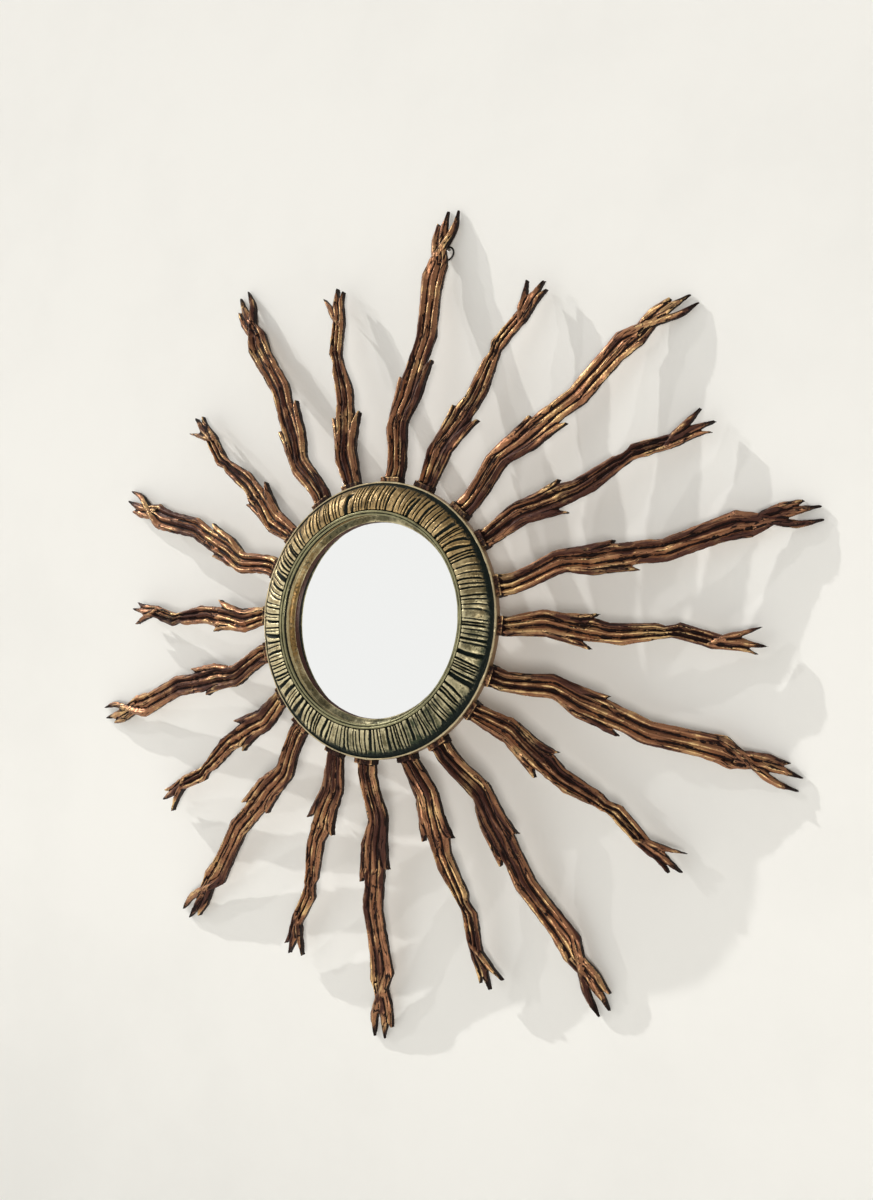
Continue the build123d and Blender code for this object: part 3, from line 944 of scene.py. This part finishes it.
# The ring's profile is drawn from its bore over the front and round the back, in millimetres
BORE = 113.5
REBATE = 117.0
BEAD_TOP = 97.5
BAND_TOP = (118.0, 99.5)
BAND_FOOT = (147.0, 85.5)
BAND_END = (146.2, 85.4)
RING_SIDE = 150.0
RING_SIDE_BACK = 75.5
RING_BACK = (138.0, 62.0)
LIP = 86.5
BAND_BULGE = 3.0
SIGHT = 106.0
SLIP_FRONT = 88.5
SLIP_EDGE = 85.0
SLIP_BACK = 81.0
SLIP_GAP = 0.3

# How the band's marks fade, as shares of the way from its foot to its bead
CUT_FADE = 0.10
FOOT_TOP = 0.30
FOOT_FADE = 0.24
BAND_STEPS = 40


def ring_profile():
    """Rows of radius, height and marks for the carved ring"""
    bead = {BEAD: 1.0, "free": 0.5}
    seam_cut = {BEAD: 1.0, CUT: 1.0, "free": 0.3}
    hollow = {CUT: 1.0, FOOT: 1.0}
    foot_edge = {FOOT: 1.0, "free": 0.4}
    worn = {RIM: 1.0, "free": 0.8}
    side = {SIDE: 1.0}
    bead_start = (BAND_TOP[0] - 6.0, BEAD_TOP)
    seam = (114.3, BEAD_TOP + 0.7)
    first_bead = arc(bead_start, (113.2, BEAD_TOP + 1.6), seam, 6)
    second_bead = arc((seam[0] + 0.5, seam[1]), (115.8, BEAD_TOP + 2.6), (116.9, BEAD_TOP + 0.6), 7)
    run = BAND_FOOT[0] - BAND_TOP[0]
    rise = BAND_TOP[1] - BAND_FOOT[1]
    chord = math.hypot(run, rise)
    middle = (
        BAND_TOP[0] + run / 2 + BAND_BULGE * rise / chord,
        BAND_FOOT[1] + rise / 2 + BAND_BULGE * run / chord,
    )
    band_start = (BAND_TOP[0] + 0.7, BAND_TOP[1] - 0.2)
    rows = [
        (BORE, 90.5, {"free": 0.3}),
        (BORE, 94.3, {"free": 0.3}),
        (*bead_start, {BEAD: 1.0, "free": 0.4}),
        *((*point, bead) for point in first_bead[:-1]),
        (*seam, seam_cut),
        (seam[0] + 0.4, seam[1], seam_cut),
        *((*point, bead) for point in second_bead),
        (117.1, BEAD_TOP - 1.4, hollow),
        (117.6, BEAD_TOP - 2.2, hollow),
        (118.2, BEAD_TOP - 1.6, {**hollow, "across": 1.0}),
        (*band_start, {BAND: 0.85, "across": 1.0, "free": 0.5}),
    ]
    for number, point in enumerate(arc(band_start, middle, BAND_END, BAND_STEPS)):
        across = 1.0 - (number + 1) / BAND_STEPS
        deep = min(1.0, across / CUT_FADE)
        foot = max(0.0, min(1.0, (FOOT_TOP - across) / FOOT_FADE))
        rows.append((*point, {BAND: deep, "across": across, FOOT: foot, "free": 1.0}))
    return rows + [
        (147.0, 84.5, foot_edge),
        (147.7, 84.3, foot_edge),
        (148.1, 84.7, foot_edge),
        (148.5, 85.2, worn),
        (149.2, 85.3, worn),
        (149.75, 84.7, worn),
        (RING_SIDE, 83.7, {RIM: 0.4, SIDE: 1.0, "free": 0.8}),
        (RING_SIDE, 82.6, {SIDE: 1.0, "free": 0.6}),
        (RING_SIDE, 79.0, {SIDE: 1.0, "free": 0.5}),
        (RING_SIDE, RING_SIDE_BACK + 0.8, {SIDE: 1.0, "free": 0.3}),
        (RING_SIDE - 0.6, RING_SIDE_BACK - 0.6, side),
        (RING_BACK[0] + 0.7, RING_BACK[1] + 0.8, side),
        (RING_BACK[0] - 0.8, RING_BACK[1], side),
        (REBATE, RING_BACK[1], side),
        (REBATE, LIP, side),
        (BORE, LIP, {}),
    ]


def slip_profile():
    """Rows of radius, height and marks for the slip that holds the glass"""
    edge = (SIGHT + 0.4, SLIP_EDGE - 0.05)
    top = (BORE - 0.6, SLIP_FRONT - 0.1)
    middle = (edge[0] + (top[0] - edge[0]) * 0.58, SLIP_EDGE + 0.62)
    back = SLIP_BACK + 0.05
    return [
        (SIGHT, back, {RIM: 0.8}),
        (SIGHT, 83.0, {RIM: 0.8, "free": 0.3}),
        (SIGHT + 0.05, SLIP_EDGE - 0.5, {RIM: 0.6, "free": 0.4}),
        (*edge, {RIM: 0.2, "free": 0.4}),
        *((*point, {"free": 0.5}) for point in arc(edge, middle, top, 12)),
        (BORE - SLIP_GAP, SLIP_FRONT - 0.5, {}),
        (BORE - SLIP_GAP, LIP, {}),
        (REBATE - SLIP_GAP, LIP, {}),
        (REBATE - SLIP_GAP, back, {}),
    ]


class SUNBURST_OT_carved_ring(bpy.types.Operator):
    """Carve the ring's lobed band, bead and rim"""

    bl_idname = "sunburst.carved_ring"
    bl_label = "Carved Ring"

    def execute(self, context):
        sizes = context.scene.sunburst_ring
        material = ring_gilding(context.scene.sunburst_colours)
        mesh = turned_ring("ring_carving", ring_profile(), sizes, sizes.cut_depth, material)
        face_outwards(mesh)
        mark_relief(mesh, fine_rounds=8, broad_rounds=40, fine_height=0.00045)
        mesh.set_sharp_from_angle(angle=SHARP_ANGLE)
        add_piece("ring_carving", mesh, material, "ring_gilding", "frame_ring")
        return {"FINISHED"}


class SUNBURST_OT_sight_slip(bpy.types.Operator):
    """Turn the slip that holds the glass in the ring"""

    bl_idname = "sunburst.sight_slip"
    bl_label = "Sight Slip"

    def execute(self, context):
        sizes = context.scene.sunburst_ring
        material = slip_gilding(context.scene.sunburst_colours)
        mesh = turned_ring("slip_cove", slip_profile(), sizes, 0.0, material)
        face_outwards(mesh)
        mark_relief(mesh, fine_rounds=8, broad_rounds=30, fine_height=0.0006)
        mesh.set_sharp_from_angle(angle=SHARP_ANGLE)
        add_piece("slip_cove", mesh, material, "slip_gilding", "sight_slip")
        return {"FINISHED"}


def resurfaced(node, step):
    """A CAD node's solid as an even, closed surface"""
    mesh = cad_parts[node].data.copy()
    shape = bmesh.new()
    shape.from_mesh(mesh)
    bmesh.ops.remove_doubles(shape, verts=shape.verts, dist=MERGE_GAP)
    shape.to_mesh(mesh)
    shape.free()
    holder = in_scene(node + "_carving", mesh)
    modifier = holder.modifiers.new("Even Surface", "REMESH")
    modifier.mode = "VOXEL"
    modifier.voxel_size = step
    modifier.adaptivity = 0.0
    bpy.context.view_layer.update()
    return baked(holder)


# Carving of the rays: distances from the mirror's centre, lengths and heights in metres,
# then counts and plain shares
SHOULDER_END = 0.152
SHOULDER_FADE = 0.006
COLLAR_END = 0.1565
COLLAR_FADE = 0.002
GOUGE_LENGTH = 0.0034
FACET_LENGTH = 0.014
CHIP_LENGTH = 0.0045
CHIP_START = 1.35
RIDGE_HEIGHT = 0.00025
RIDGE_GAIN = 0.4
CREST_START = 0.00014
CREST_RISE = 0.00034
GROOVE_START = 0.00006
GROOVE_FALL = 0.00020
HOLLOW_START = 0.0007
HOLLOW_FALL = 0.0010
FINE_ROUNDS = 6
BROAD_ROUNDS = 40
RAY_CELLS = 48
FIBRE_SHARE = 0.07
GOUGE_SHARE = 0.03
GOUGE_GAIN = 0.6
FACET_GAIN = 0.5
TIP_START = 0.94
TIP_DARK = 0.5
COLLAR_DARK = 0.24
# Share of painted shade on the ray sides that turn side-on
FLANK_DARK = 0.80


def straightened(points, centred, axis):
    """A bent strand's points drawn out along it, for marks that follow its bends"""
    along = centred @ axis
    cells = np.linspace(along.min(), along.max(), RAY_CELLS + 1)
    cell = np.clip(np.digitize(along, cells) - 1, 0, RAY_CELLS - 1)
    count = np.maximum(np.bincount(cell, minlength=RAY_CELLS), 1)
    middle = (cells[1:] + cells[:-1]) / 2
    run = np.outer(along, axis)
    offset = centred - run
    for column in range(3):
        mean = np.bincount(cell, offset[:, column], minlength=RAY_CELLS) / count
        offset[:, column] -= np.interp(along, middle, mean)
    straight = offset + run * FIBRE_SHARE + points.mean(axis=0)
    return straight + run * GOUGE_SHARE, straight


def carve_strands(mesh, sizes, seed):
    """Cuts a ray's ridges, grooves, gouge marks and chips into its surface"""
    pairs = edges_of(mesh)
    points = eased(points_of(mesh), pairs, 1)
    put_points(mesh, points)
    normals = normals_of(mesh)
    centred = points - points.mean(axis=0)
    axis = np.linalg.eigh(centred.T @ centred)[1][:, -1]
    drawn_out, straight = straightened(points, centred, axis)
    crease = relief_of(points, normals, pairs, FINE_ROUNDS)
    broad = relief_of(points, normals, pairs, BROAD_ROUNDS)
    distance = np.linalg.norm((points - np.array(MIRROR_CENTRE))[:, (0, 2)], axis=1)
    moved = np.where(crease < 0.0, crease, crease * RIDGE_GAIN) * sizes.crispness
    moved += ripple(drawn_out, GOUGE_LENGTH, seed) * sizes.gouge_depth * GOUGE_GAIN
    moved += ripple(points, FACET_LENGTH, seed + 100) * sizes.facet_depth * FACET_GAIN
    chipped = ramp(ripple(points, CHIP_LENGTH, seed + 200), CHIP_START, 1.0)
    moved -= chipped * ramp(crease, 0.0, RIDGE_HEIGHT) * sizes.chip_depth
    free = ramp(distance, SHOULDER_END, SHOULDER_FADE)
    points = points + normals * (moved * free)[:, None]
    put_points(mesh, points)
    normals = normals_of(mesh)
    backward = normals[:, 1]
    fine = relief_of(points, normals, pairs, FINE_ROUNDS)
    reach = (distance - distance.min()) / (distance.max() - distance.min())
    tip = ramp(reach, TIP_START, 1.0 - TIP_START) * TIP_DARK
    collar = ramp(distance, COLLAR_END, -COLLAR_FADE) * COLLAR_DARK
    # Painted shade: the grooves, the hollows and the sides that turn side-on are marked to be
    # darkened
    groove = ramp(-fine, GROOVE_START, GROOVE_FALL)
    hollow = ramp(-broad, HOLLOW_START, HOLLOW_FALL)
    painted_flank_shade = ramp(backward, -0.30, 0.30) * FLANK_DARK
    painted_flank_shade *= 1.0 - 0.9 * ramp(backward, 0.10, 0.30)
    # Painted highlight: the crests are marked for brighter leaf
    store_mark(mesh, CREST, ramp(fine, CREST_START, CREST_RISE))
    store_mark(mesh, GROOVE, np.maximum(np.maximum(groove, hollow), painted_flank_shade))
    store_mark(mesh, REAR, ramp(backward, 0.15, 0.5))
    store_mark(mesh, TIP, np.maximum(tip, collar))
    store_vectors(mesh, FIBRE, straight)


class SUNBURST_OT_rays(bpy.types.Operator):
    """Carve the twenty rays and gild them"""

    bl_idname = "sunburst.rays"
    bl_label = "Rays"

    def execute(self, context):
        sizes = context.scene.sunburst_rays
        material = ray_gilding(context.scene.sunburst_colours)
        for number, node in enumerate(RAY_NAMES):
            mesh = resurfaced(node, sizes.grain)
            carve_strands(mesh, sizes, FIRST_RAY_SEED + number)
            mesh.shade_smooth()
            add_piece(node + "_carving", mesh, material, "ray_gilding", node)
        return {"FINISHED"}


class SUNBURST_OT_glass_and_board(bpy.types.Operator):
    """Finish the mirror glass and the board behind it"""

    bl_idname = "sunburst.glass_and_board"
    bl_label = "Glass and Board"

    def execute(self, context):
        dress_node("mirror_glass", mirror_plate())
        dress_node("backing_board", backing_wood(context.scene.sunburst_colours))
        return {"FINISHED"}


class SUNBURST_OT_fixings(bpy.types.Operator):
    """Finish the brads, nails, strap, screws and hanging ring"""

    bl_idname = "sunburst.fixings"
    bl_label = "Fixings and Hanger"

    def execute(self, context):
        steel = metal_finish("Bright Steel", *STEEL, roughness=0.30, metallic=0.9)
        wire = metal_finish("Black Wire", *WIRE, roughness=0.28, metallic=0.6)
        for node in ("backing_brads", "ray_nails", "hanger_strap", "hanger_screws"):
            dress_node(node, steel)
        dress_node("hanger_ring", wire)
        return {"FINISHED"}


def one_sided(material, wiring, shader):
    """Lets a view from behind see through the backdrop"""
    clear = wiring.place("ShaderNodeBsdfTransparent")
    behind = wiring.place("ShaderNodeNewGeometry").outputs["Backfacing"]
    mixed = wiring.place("ShaderNodeMixShader", {0: behind})
    wiring.join(shader.outputs[0], mixed.inputs[1])
    wiring.join(clear.outputs[0], mixed.inputs[2])
    wiring.join(mixed.outputs[0], material.node_tree.nodes["Material Output"].inputs[0])


def add_sheet(name, low, high, material):
    """A flat stage sheet between its lowest and highest corners"""
    mesh = bpy.data.meshes.new(name)
    corners = [low, (high[0], *low[1:]), high, (low[0], *high[1:])]
    mesh.from_pydata(corners, [], [(0, 1, 2, 3)])
    mesh.materials.append(material)
    sheet = in_scene(name, mesh)
    return sheet


def add_sun(name, strength, direction, angle, tint):
    """A distant light that shines along a direction"""
    lamp = bpy.data.lights.new(name, "SUN")
    lamp.energy = strength
    lamp.angle = math.radians(angle)
    lamp.color = tint
    light = in_scene(name, lamp)
    light.rotation_mode = "QUATERNION"
    light.rotation_quaternion = Vector(direction).to_track_quat("-Z", "Y")
    return light


def plaster_wall(colours):
    """Pale plaster with faint clouds, seen from the front only"""
    material, wiring, shader = new_material("Plaster Wall")
    clouds = wiring.spread(wiring.noise(wiring.spot(), 3.0, 5.0, 0.6), 0.4, 0.7)
    shade = wiring.blend(clouds, colour(colours.wall), colour(colours.wall, 0.965))
    feed(wiring, shader, shade, 0.9)
    shader.inputs["Specular IOR Level"].default_value = 0.1
    one_sided(material, wiring, shader)
    return material


# The stage, in metres: the wall stands just behind the claws
WALL_GAP = 0.0008
STAGE_REACH = 4.0
FLOOR_LEVEL = -1.7
NAIL_RADIUS = 0.0017
NAIL_LENGTH = 0.0105
NAIL_HEAD_RADIUS = 0.0031
NAIL_HEAD_END = 0.0122
NAIL_LEVEL = -0.0018

# Lights: the way each one shines, its angle in degrees and its tint
KEY_LIGHT = {"direction": (0.758, 0.259, -0.599), "angle": 0.7, "tint": (1.0, 0.985, 0.95)}
SECOND_LIGHT = {"direction": (0.80, 0.44, -0.42), "angle": 0.9, "tint": (1.0, 0.99, 0.97)}
FILL_LIGHT = {"direction": (-0.50, 0.85, 0.10), "angle": 14.0, "tint": (1.0, 0.96, 0.90)}
BACK_LIGHT = {"direction": (0.62, -0.78, 0.0), "angle": 20.0, "tint": (1.0, 1.0, 1.0)}
SECOND_SHARE = 0.22
BACK_STRENGTH = 1.5

# The room that the glass reflects: its darkest and lightest shade, and its window
ROOM_DIM = (0.50, 0.485, 0.46, 1.0)
ROOM_PALE = (1.25, 1.25, 1.22, 1.0)
WINDOW_WAY = (-0.527, -0.850, 0.0)
WINDOW_SHADE = (4.55, 4.55, 4.50, 1.0)

# The camera's sensor in millimetres, and how far it sees in metres
SENSOR_WIDTH = 36.0
FAR_CLIP = 50.0


def add_wall_nail():
    """The plain nail in the wall that the wire ring hangs on"""
    shape = bmesh.new()
    lying = Matrix.Rotation(math.radians(90.0), 4, "X")
    shank = (NAIL_RADIUS, 0.0, NAIL_LENGTH)
    head = (NAIL_HEAD_RADIUS, NAIL_LENGTH, NAIL_HEAD_END)
    for radius, start, end in (shank, head):
        bmesh.ops.create_cone(
            shape,
            cap_ends=True,
            segments=24,
            radius1=radius,
            radius2=radius,
            depth=end - start,
            matrix=Matrix.Translation((0.0, -(start + end) / 2, NAIL_LEVEL)) @ lying,
        )
    nail = bpy.data.meshes.new("wall_nail")
    shape.to_mesh(nail)
    shape.free()
    nail.materials.append(metal_finish("Old Nail", *OLD_NAIL, roughness=0.25, metallic=0.9))
    in_scene("wall_nail", nail)


class SUNBURST_OT_stage(bpy.types.Operator):
    """Set up the wall, floor, light and camera"""

    bl_idname = "sunburst.stage"
    bl_label = "Stage"

    def execute(self, context):
        stage = context.scene.sunburst_stage
        material = plaster_wall(context.scene.sunburst_colours)
        wall = add_sheet(
            "backdrop_wall",
            (-STAGE_REACH, WALL_GAP, FLOOR_LEVEL),
            (STAGE_REACH, WALL_GAP, STAGE_REACH),
            material,
        )
        add_sheet(
            "backdrop_floor",
            (-STAGE_REACH, -STAGE_REACH, FLOOR_LEVEL),
            (STAGE_REACH, WALL_GAP, FLOOR_LEVEL),
            material,
        )
        add_wall_nail()
        self.light_mirror(stage, wall)
        self.light_room(context, stage)
        self.set_camera(context, stage)
        context.scene.view_settings.view_transform = "Standard"
        return {"FINISHED"}

    def light_mirror(self, stage, wall):
        """Grazing light from the upper left, a soft one in front, and one through the wall"""
        key = stage.key_strength
        add_sun("key_light", key, **KEY_LIGHT)
        add_sun("second_light", key * SECOND_SHARE, **SECOND_LIGHT)
        add_sun("fill_light", stage.fill_strength, **FILL_LIGHT)
        back = add_sun("back_light", BACK_STRENGTH, **BACK_LIGHT)
        kept_out = bpy.data.collections.new("back_light_skips")
        kept_out.objects.link(wall)
        back.light_linking.blocker_collection = kept_out
        kept_out.collection_objects[0].light_linking.link_state = "EXCLUDE"

    def light_room(self, context, stage):
        """A pale room, brightest in front and above, and darker to the right and below"""
        world = bpy.data.worlds.new("Pale Room")
        world.use_nodes = True
        wiring = Wiring(world.node_tree)
        toward = wiring.place("ShaderNodeTexCoord").outputs["Generated"]
        split = wiring.split(toward)
        lift = wiring.times(split["X"], -0.45)
        lift = wiring.scaled(split["Y"], -0.30, lift)
        lift = wiring.scaled(split["Z"], 0.42, lift)
        share = wiring.spread(lift, -0.50, 0.50)
        shade = wiring.blend(share, ROOM_DIM, ROOM_PALE)
        facing = wiring.place(
            "ShaderNodeVectorMath",
            {0: toward, 1: WINDOW_WAY},
            operation="DOT_PRODUCT",
        ).outputs["Value"]
        window = wiring.spread(facing, 0.86, 0.96)
        shade = wiring.blend(window, shade, WINDOW_SHADE)
        sky = world.node_tree.nodes["Background"]
        wiring.join(shade, sky.inputs["Color"])
        sky.inputs["Strength"].default_value = stage.sky_strength
        context.scene.world = world

    def set_camera(self, context, stage):
        """A camera at the photograph's viewing angle"""
        yaw = -stage.camera_yaw
        pitch = stage.camera_pitch
        roll = stage.camera_roll
        level = Vector((math.cos(yaw), -math.sin(yaw), 0.0))
        ahead = Vector((math.sin(yaw), math.cos(yaw), 0.0))
        forward = ahead * math.cos(pitch) + Vector((0.0, 0.0, math.sin(pitch)))
        upright = level.cross(forward)
        right = math.cos(roll) * level + math.sin(roll) * upright
        up = math.cos(roll) * upright - math.sin(roll) * level
        data = bpy.data.cameras.new("view")
        data.lens = stage.lens
        data.sensor_width = SENSOR_WIDTH
        data.clip_end = FAR_CLIP
        camera = in_scene("view", data)
        turn = Matrix((right, up, -forward)).transposed()
        camera.matrix_world = Matrix.Translation(stage.camera_place) @ turn.to_4x4()
        context.scene.camera = camera


class SUNBURST_PT_panel(bpy.types.Panel):
    """Steps that dress the mirror"""

    bl_idname = "SUNBURST_PT_panel"
    bl_label = "Sunburst Mirror"
    bl_space_type = "VIEW_3D"
    bl_region_type = "UI"
    bl_category = "Sunburst"

    def draw(self, context):
        for step in STEPS:
            self.layout.operator(step.bl_idname)


STEPS = (
    SUNBURST_OT_carved_ring,
    SUNBURST_OT_sight_slip,
    SUNBURST_OT_rays,
    SUNBURST_OT_glass_and_board,
    SUNBURST_OT_fixings,
    SUNBURST_OT_stage,
)
SETTINGS = {
    "sunburst_ring": SunburstRingSizes,
    "sunburst_rays": SunburstRaySizes,
    "sunburst_colours": SunburstColours,
    "sunburst_stage": SunburstStage,
}
CLASSES = (*SETTINGS.values(), *STEPS, SUNBURST_PT_panel)


def register():
    """Registers the mirror's settings, steps and panel"""
    for kind in CLASSES:
        bpy.utils.register_class(kind)
    for name, kind in SETTINGS.items():
        setattr(bpy.types.Scene, name, PointerProperty(type=kind))


def unregister():
    """Takes the mirror's settings, steps and panel out again"""
    for name in SETTINGS:
        delattr(bpy.types.Scene, name)
    for kind in reversed(CLASSES):
        bpy.utils.unregister_class(kind)


def main():
    """Dresses the mirror"""
    register()
    for step in STEPS:
        family, name = step.bl_idname.split(".")
        getattr(getattr(bpy.ops, family), name)()


if __name__ == "__main__":
    main()
